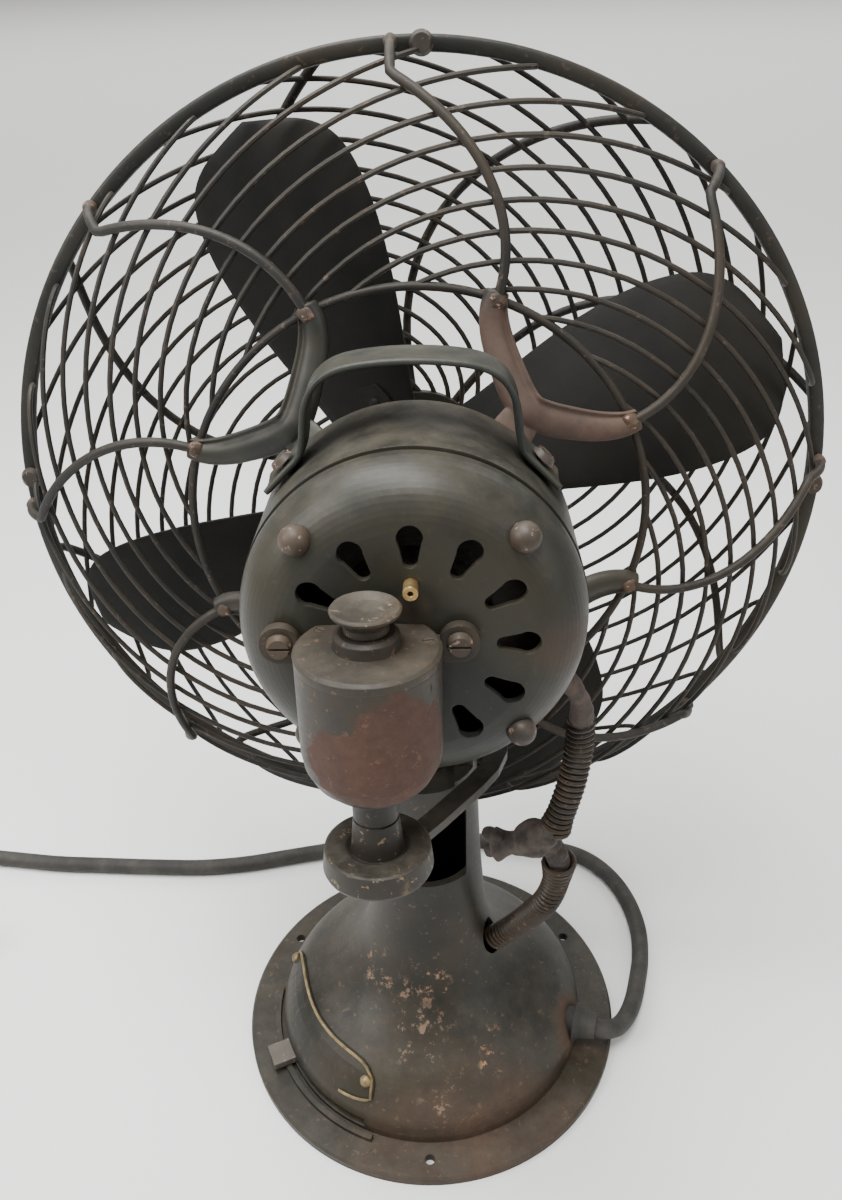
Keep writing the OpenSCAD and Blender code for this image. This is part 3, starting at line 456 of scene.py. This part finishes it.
# The unseen part: a flat coil, then a climb over it to the plug on top. Angles in degrees
COIL = (406, -62)
COIL_R, COIL_STEP_IN = 75, 12
FLAT_END, CLIMB_END, COIL_END = 738, 790, 850
CORD_Z, LAYER_RISE = 5.8, 12.2
PLUG_R, PLUG_Z = 60, 25.5
TURN_STEP = 5
run = smooth_path(route, 8)
coil = []
phi = -90 + TURN_STEP
while phi <= COIL_END:
    r = COIL_R - COIL_STEP_IN * (min(phi, FLAT_END) + 90) / 360
    z = CORD_Z
    if phi > FLAT_END:
        k = min(1, (phi - FLAT_END) / (CLIMB_END - FLAT_END))
        z += LAYER_RISE * k * k * (3 - 2 * k)
    if phi > CLIMB_END:
        k = (phi - CLIMB_END) / (COIL_END - CLIMB_END)
        k = k * k * (3 - 2 * k)
        r += (PLUG_R - r) * k
        z += (PLUG_Z - z) * k
    coil.append(Vector((COIL[0] + r * math.cos(rad(phi)), COIL[1] + r * math.sin(rad(phi)), z)))
    phi += TURN_STEP
cord_path = run + coil
cord = piece("mains_cord_rubber", tube(cord_path, CORD_D / 2, 14, round_ends=False), "cord",
             "base", stands_for=("mains_cord", "cord_coil"))

# The plug, on top of the coil
plug_at = at(COIL[0], COIL[1], PLUG_Z) @ spin(130, "Z") @ at(PLUG_R, 0, 0) @ spin(-90, "X")
grip = [(0, 0), (7.2, 0), (8, 2)]
for k in range(4):
    grip += [(8.6 + 1.3 * k, 3.5 + 3 * k), (8.2 + 1.3 * k, 4.6 + 3 * k)]
grip += [(13.6, 16), (14, 18), (14, 38), (13, 40), (0, 40)]
plug = piece("plug_body", moved(lathe(grip, 48), plug_at), "bakelite", "base",
             stands_for=("plug",), bevel=0.4)

# ---------- guard ----------
# Radii and depths in the head, in mm; angles and twists in degrees, seen from behind
RIM_R, RIM_Y, RING_R, RING_Y = 225, -61, 118.4, -10
REAR_END_R, REAR_END_Y = RIM_R - 7, RIM_Y + 1.5
BADGE_R, BADGE_Y = 26, -119
FRONT_REACH, FRONT_END_Y = RIM_R - 30, RIM_Y - 8
WIRE_R, WIRE_COUNT, WIRE_STEP = 1.45, 24, 15
REAR_TWIST, FRONT_TWIST = 106, 195
STRUT_R, STRUT_COUNT, STRUT_STEP, STRUT_LIFT = 2.5, 8, 45, 4
REAR_STRUT_A, REAR_LEAN = 25.3, 22
FRONT_STRUT_A, FRONT_LEAN = 8, 42
REAR_STEPS, FRONT_STEPS, STRUT_STEPS = 40, 64, 36


def rear_point(a, t, twist, lift=0.0):
    """A point of the rear dish: t is 0 at the inner ring and 1 at the rim."""
    f = math.sin(rad(90 * t))
    r = RING_R + (REAR_END_R - RING_R) * f
    y = REAR_END_Y + (RING_Y - REAR_END_Y) * math.cos(rad(90 * t))
    return turn(a - twist * f, r + lift * f, y + lift * math.cos(rad(90 * t)))


def front_point(a, t, twist, lift=0.0):
    """A point of the front dish: t is 0 at the badge and 1 at the rim."""
    f = math.sin(rad(90 * t))
    r = BADGE_R + FRONT_REACH * f
    y = FRONT_END_Y + (BADGE_Y - FRONT_END_Y) * math.cos(rad(90 * t))
    return turn(a + twist * f, r + 0.2 * lift * f, y - lift * math.cos(rad(90 * t)))


def bend(t):
    """How far a rear strut has leaned over, from 0 to 1; it ends straight."""
    f = math.sin(rad(90 * t))
    return min(1, f / 0.88) ** 1.9


wires = [tube([rear_point(WIRE_STEP * i, k / REAR_STEPS, REAR_TWIST)
               for k in range(REAR_STEPS + 1)], WIRE_R, 8) for i in range(WIRE_COUNT)]
piece("guard_wires_rear", wires, "wire", "head", HEAD,
      stands_for=("rear_wires",))
wires = [tube([front_point(WIRE_STEP * (i + 0.5), k / FRONT_STEPS, FRONT_TWIST)
               for k in range(FRONT_STEPS + 1)], WIRE_R, 8) for i in range(WIRE_COUNT)]
piece("guard_wires_front", wires, "wire", "head", HEAD,
      stands_for=("front_wires",))
struts = []
for i in range(STRUT_COUNT):
    path = []
    for k in range(STRUT_STEPS + 1):
        t = k / STRUT_STEPS
        path.append(rear_point(REAR_STRUT_A + STRUT_STEP * i + REAR_LEAN * bend(t), t, 0,
                               STRUT_LIFT))
    struts.append(tube(path, STRUT_R, 12))
piece("guard_struts_rear", struts, "wire", "head", HEAD,
      stands_for=("rear_struts",))
struts = []
for i in range(STRUT_COUNT):
    path = []
    for k in range(STRUT_STEPS + 1):
        lean = FRONT_LEAN * math.sin(rad(90 * k / STRUT_STEPS)) ** 2
        path.append(front_point(STRUT_STEP * i + FRONT_STRUT_A - lean, k / STRUT_STEPS, 0,
                                STRUT_LIFT))
    struts.append(tube(path, STRUT_R, 12))
piece("guard_struts_front", struts, "wire", "head", HEAD,
      stands_for=("front_struts",))
ring = tube([turn(3 * i, RING_R, RING_Y) for i in range(120)], 2.2, 12, closed=True)
piece("guard_inner_ring", ring, "wire", "head", HEAD, stands_for=("rear_ring",))
profile = [(217, -65.6), (217.4, -61.6), (218, -61), (223.6, -61), (224.7, -61.6),
           (225, -62.6), (225, -73.4), (224.6, -74), (222.6, -74), (222.2, -73.4),
           (222.2, -66.6), (221.6, -66), (217.4, -66), (217, -65.6)]
piece("guard_rim_band", lathe(profile, 180, "Y"), "rim", "head", HEAD,
      stands_for=("guard_rim",), angle=50)

# ---------- blades ----------
BLADE_Y, BLADE_A = -48, 113
ROOT, TIP = 32, 205
ROOT_HALF, HALF_GROWS = 26, 24.5
ROOT_PITCH, PITCH_FALLS, CAMBER = 33, 13, 0.1
BLADE_THICK = 1.4


def blade_grid(rows=40, cols=20):
    """Outline with a broad blunt tip, camber across and a pitch that falls along it."""
    pts = []
    for k in range(rows + 1):
        f = math.sin(rad(90 * k / rows))
        r = ROOT + (TIP - ROOT) * f
        rise = ROOT_HALF + HALF_GROWS * math.sin(rad(90 * min(1, f * 1.35))) ** 1.3
        half = rise * (math.sqrt(max(0.0, 1 - f ** 12)) + 0.02)
        shift = 7 * (1 - f * f)
        pitch = rad(ROOT_PITCH - PITCH_FALLS * f)
        for j in range(cols + 1):
            s = 2 * j / cols - 1
            w = s * half + shift
            c = CAMBER * half * (1 - s * s)
            pts.append(Vector((w * math.cos(pitch) + c * math.sin(pitch),
                               BLADE_Y - w * math.sin(pitch) + c * math.cos(pitch),
                               r * (1 - 0.02 * s * s))))
    return pts, rows, cols


def blade_part():
    pts, rows, cols = blade_grid()
    m = cols + 1
    faces = [(k * m + j, k * m + j + 1, (k + 1) * m + j + 1, (k + 1) * m + j)
             for k in range(rows) for j in range(cols)]
    return pts, faces


for i in range(4):
    place = HEAD @ spin(BLADE_A - 90 + 90 * i, "Y")
    blade = piece(f"fan_blade_{i + 1}", blade_part(), "blade", "rotor", place,
                  stands_for=(f"blade_{i + 1}",), angle=60)
    solid = blade.modifiers.new("thickness", "SOLIDIFY")
    solid.thickness = BLADE_THICK * MM
    solid.offset = 0
    edge = blade.modifiers.new("bevel", "BEVEL")
    edge.width = 0.5 * MM
    edge.segments = 2

# ---------- brackets and handle ----------
def arm_section(k):
    """Pressed arm: rounded back with a groove and a rolled lip; wide in the middle."""
    w, d = 5.2 + 3.4 * math.sin(math.pi * k) ** 0.8, 4.4
    shape = [(-1, -0.7), (-1.05, 0), (-0.85, 0.55), (-0.5, 0.9), (0, 1), (0.42, 0.8),
             (0.6, 0.34), (0.74, 0.3), (0.9, 0.6), (1.06, 0.4), (1.04, -0.5), (0.6, -0.2),
             (0, 0.1), (-0.6, -0.2)]
    return [(w * a, d * b) for a, b in shape]


BRACKET_A, TIP_A = 47.8, 22.5
# Each bracket: angle across, radius and depth of the points along one half, tip first
arm_half = [(23, 123, -8), (22.5, 114, -7.2), (19.5, 103, -5), (13, 92, 0), (5.5, 84.5, 4)]
brackets, welds = [], []
for q in range(4):
    mid = BRACKET_A + 90 * q
    line = [turn(mid - a, r, y) for a, r, y in arm_half] + [turn(mid, 82.5, 6)]
    line += [turn(mid + a, r, y) for a, r, y in reversed(arm_half)]
    brackets.append(sweep_section(smooth_path(line, 6), arm_section,
                                  lambda i, p: Vector((p.x * 0.3, 100, p.z * 0.3))))
    brackets.append(sweep_section(
        smooth_path([turn(mid, 82, 5), turn(mid, 74, 8), turn(mid, 67, 15)], 4),
        lambda k: [(-9 - 3 * k, -3), (-9.5 - 3 * k, 1.5), (-7, 3), (7, 3), (9.5 + 3 * k, 1.5),
                   (9 + 3 * k, -3)], lambda i, p: Vector((p.x, 40, p.z))))
    for side in (-1, 1):
        tip = turn(mid + TIP_A * side, RING_R, -8.5)
        welds.append(lumpy(tube([tip + Vector((0, -3, 0)), tip, tip + Vector((0, 4.2, 0))],
                                lambda k: 6.2 - 1.8 * k, 12), 2.4, 0.45, q + side))
piece("guard_bracket_arms", brackets, "bracket", "head", HEAD,
      stands_for=("guard_brackets",), level=1, angle=70)
piece("ring_welds", welds, "weld", "head", HEAD, level=2)

strap = [(-64.5, 46.5), (-60.5, 50.8), (-54.5, 57), (-50.6, 60.8), (-48, 64.5), (-46.8, 70),
         (-45.8, 79), (-44.2, 87), (-40, 94.5), (-33, 99.6), (-24, 102.2), (-12, 103.6)]
strap += [(0, 104)] + [(-x, z) for x, z in reversed(strap)]
strap_path = smooth_path([(x, 62, z) for x, z in strap], 4)
piece("carrying_handle", sweep_section(
    strap_path,
    lambda k: [(-11.6, -1.4), (-12.3, -0.4), (-12.3, 1), (-11.5, 1.9), (-10.2, 1.9),
               (-9.2, 1.1), (0, 0.9), (9.2, 1.1), (10.2, 1.9), (11.5, 1.9), (12.3, 1),
               (12.3, -0.4), (11.6, -1.4), (0, -1.5)],
    lambda i, p: Vector((p.x, 0, p.z - 40))), "handle", "head", HEAD,
    stands_for=("handle",), level=1, angle=60)

# ---------- motor lead: spring sleeves and the taped splice ----------
def coil_spring(path, radius, wire, pitch, flare=(1, 1)):
    """Close-wound spring around a path."""
    path = smooth_path(path, 10)
    axes = frames(path)
    length = [0.0]
    for a, b in zip(path, path[1:]):
        length.append(length[-1] + (b - a).length)
    turns = length[-1] / pitch
    steps = int(turns * 14)
    out = []
    i = 0
    for n in range(steps + 1):
        here = length[-1] * n / steps
        while i < len(path) - 2 and length[i + 1] < here:
            i += 1
        k = (here - length[i]) / (length[i + 1] - length[i])
        p = path[i].lerp(path[i + 1], k)
        side = axes[i][1].lerp(axes[i + 1][1], k)
        up = axes[i][2].lerp(axes[i + 1][2], k)
        f = here / length[-1]
        r = radius * (1 + (flare[0] - 1) * max(0, 1 - 7 * f) + (flare[1] - 1) * max(0, 7 * f - 6))
        a = 2 * math.pi * turns * n / steps
        out.append(p + r * (math.cos(a) * side + math.sin(a) * up))
    return tube(out, wire, 6)


lead_top = [(-60, 47, 316), (-68, 48.5, 312), (-75, 46.5, 302), (-79, 41, 288), (-80, 35, 275)]
sleeve_top = [(-80, 35, 277), (-80, 36, 258), (-77, 41, 241), (-73, 44, 226), (-69, 45, 211)]
splice = [(-69, 45, 213), (-64, 43, 204), (-56, 40, 197), (-47, 37, 192), (-40, 35, 189)]
tail = [(-60, 41, 198), (-67, 40, 193), (-72, 39, 185), (-73, 39, 176)]
sleeve_low = [(-73, 39, 180), (-72, 38, 163), (-68, 36, 146), (-61, 27, 124), (-52, 16, 100),
              (-39.5, 11.3, 83.5)]
upper_core = piece("lead_upper_core", [
    lumpy(tube(smooth_path(lead_top, 8), lambda k: 5.4 + 0.8 * math.sin(9 * k), 14), 1.2, 0.2, 3),
    tube(smooth_path(sleeve_top, 8), 4.9, 12)], "lead", None,
    stands_for=("lead_upper",))
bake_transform(upper_core)
upper_spring = piece("spring_sleeve_upper", coil_spring(sleeve_top, 6.3, 1.35, 3.2, (0.93, 1.2)),
                     "spring", None, stands_for=("spring_upper",))
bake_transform(upper_spring)
tape = [lumpy(tube(smooth_path(splice, 8), lambda k: 8.2 + 1.6 * math.sin(3 + 11 * k), 20),
              3.0, 0.16, 1),
        lumpy(tube(smooth_path(tail, 8), lambda k: 7.2 - 1.6 * k, 16), 2.0, 0.2, 7),
        lumpy(tube([(-44, 36, 191), (-38, 37, 196), (-34, 38, 201)], 4.6, 12), 1.4, 0.3, 5),
        lumpy(tube([(-46, 35, 189), (-39, 33, 184), (-35, 32, 181)], 4.4, 12), 1.4, 0.3, 9)]
splice_tape = piece("taped_splice", tape, "tape", None, stands_for=("lead_splice",),
                    level=1)
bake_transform(splice_tape)
piece("spring_sleeve_lower", [coil_spring(sleeve_low, 6.4, 1.35, 3.2, (1.36, 1.0)),
                              tube(smooth_path(sleeve_low, 8), 4.8, 12)],
      "spring", "base", stands_for=("spring_lower",))

# ---------- blade spider and strut ends ----------
spider = [lathe([(0, -66), (9, -65.5), (14, -63.5), (17, -60), (17.4, -44), (16, -41), (12, -40),
                 (12, -48), (0, -48)], 48, "Y")]
for i in range(4):
    arm = []
    for side in (-1, 1):
        for r, w in ((10, 8), (24, 7.4), (34, 9), (46, 10.4), (58, 9.6), (66, 5.5)):
            arm.append(Vector((side * w, 0, r)))
    faces = [(k, k + 1, k + 7, k + 6) for k in range(5)]
    low = [v + Vector((0, 1.6, 0)) for v in arm]
    tilt = spin(BLADE_A - 90 + 90 * i, "Y") @ at(0, BLADE_Y + 3.6, 0) @ spin(-31, "Z")
    rim_faces = [(k, k + 1, k + 13, k + 12) for k in (0, 1, 2, 3, 4, 6, 7, 8, 9, 10)]
    rim_faces += [(0, 6, 18, 12), (5, 11, 23, 17)]
    spider.append(moved((arm + low, faces + [tuple(j + 12 for j in f) for f in faces]
                         + rim_faces), tilt))
    for x, r in ((-4.5, 44), (4.5, 44), (0, 56)):
        spider.append(moved(lathe([(0, 3.6), (1.8, 3.3), (3, 2.2), (3.2, 1.2), (3.2, 0.4)], 16,
                                  "Y"), tilt @ at(x, 0, r)))
piece("blade_spider", spider, "blade", "rotor", HEAD, stands_for=("blade_hub",),
      bevel=0.3, angle=45)

blobs = []
for i in range(STRUT_COUNT):
    a = REAR_STRUT_A + STRUT_STEP * i
    p = rear_point(a + REAR_LEAN * bend(1), 1, 0, STRUT_LIFT)
    blobs.append(lumpy(tube([p + Vector((0, -1, 0)), p + Vector((0, 3, 0)),
                             p + Vector((0, 5, 0))], lambda k: 4.4 - 1.6 * k, 10), 1.3, 0.5, i))
piece("strut_ends", blobs, "weld", "head", HEAD, level=2)

# ---------- CAD nodes that stay, with their materials ----------
stay = {
    "base_casting": "base", "bottom_cover": "iron", "column_head": "base",
    "speed_plate": "plate", "plate_border": "dull_brass", "plate_screws": "dull_brass",
    "switch_block": "fibre", "switch_contacts": "brass", "choke_core": "iron",
    "choke_winding": "varnish", "cord_bushing": "cord", "plug_pins": "brass",
    "tilt_bolt": "steel", "tilt_nut": "screw", "speed_lever": "lever",
    "neck_trunnion": "housing", "anchor_stud": "steel", "motor_housing": "housing",
    "swivel_stud": "steel",
    "rear_cover": "cover", "cover_bolts": "screw", "stator_core": "iron",
    "stator_windings": "varnish", "shaft_bearings": "brass", "oiler": "brass",
    "handle_screws": "screw",
    "rim_bolts": "screw", "front_badge": "housing", "gearbox_case": "gearbox",
    "gearbox_lid": "gearbox", "lid_screws": "screw", "gearbox_screws": "screw",
    "crank_shaft": "steel",
    "worm_wheel": "brass", "crank_disc": "disc", "link_rod": "gearbox",
    "crank_screw": "steel", "clutch_knob": "knob", "rotor_shaft": "steel",
    "rotor_core": "iron",
}
for name, key in stay.items():
    mesh = nodes[name].data
    mesh.materials.clear()
    mesh.materials.append(mats[key])

# ---------- floor and light ----------
FLOOR = 14  # half its width, in metres
floor_mesh = bpy.data.meshes.new("floor")
floor_mesh.from_pydata([(-FLOOR, -FLOOR, 0), (FLOOR, -FLOOR, 0), (FLOOR, FLOOR, 0),
                        (-FLOOR, FLOOR, 0)], [], [(0, 1, 2, 3)])
floor = bpy.data.objects.new("floor", floor_mesh)
bpy.context.scene.collection.objects.link(floor)
pale = Mat("pale_floor")
floor_mesh.materials.append(pale.done((0.78, 0.78, 0.77), 0.85, pale.noise(30), 0.02))

world = bpy.data.worlds.new("studio")
bpy.context.scene.world = world
world.use_nodes = True
world.node_tree.nodes["Background"].inputs["Color"].default_value = (1.0, 0.985, 0.95, 1)
world.node_tree.nodes["Background"].inputs["Strength"].default_value = 0.42


def area(name, place, target, size, power, tint=(1, 1, 1)):
    data = bpy.data.lights.new(name, "AREA")
    data.shape = "RECTANGLE"
    data.size, data.size_y = size
    data.energy = power
    data.color = tint
    lamp = bpy.data.objects.new(name, data)
    bpy.context.scene.collection.objects.link(lamp)
    aim = Vector(target) - Vector(place)
    facing = aim.to_track_quat("-Z", "Y").to_matrix().to_4x4()
    lamp.matrix_world = Matrix.Translation(place) @ facing


area("overhead", (0.2, 0.1, 1.7), (0, 0, 0.25), (1.4, 0.7), 55)
area("left_window", (1.4, 0.6, 1.3), (0, 0, 0.3), (0.8, 1.0), 30)
area("far_floor", (0, -4.5, 3.5), (0, -4.6, 0), (9, 4), 300)
area("rear_right", (-1.3, 0.9, 0.9), (0, 0, 0.3), (0.8, 1.0), 9)
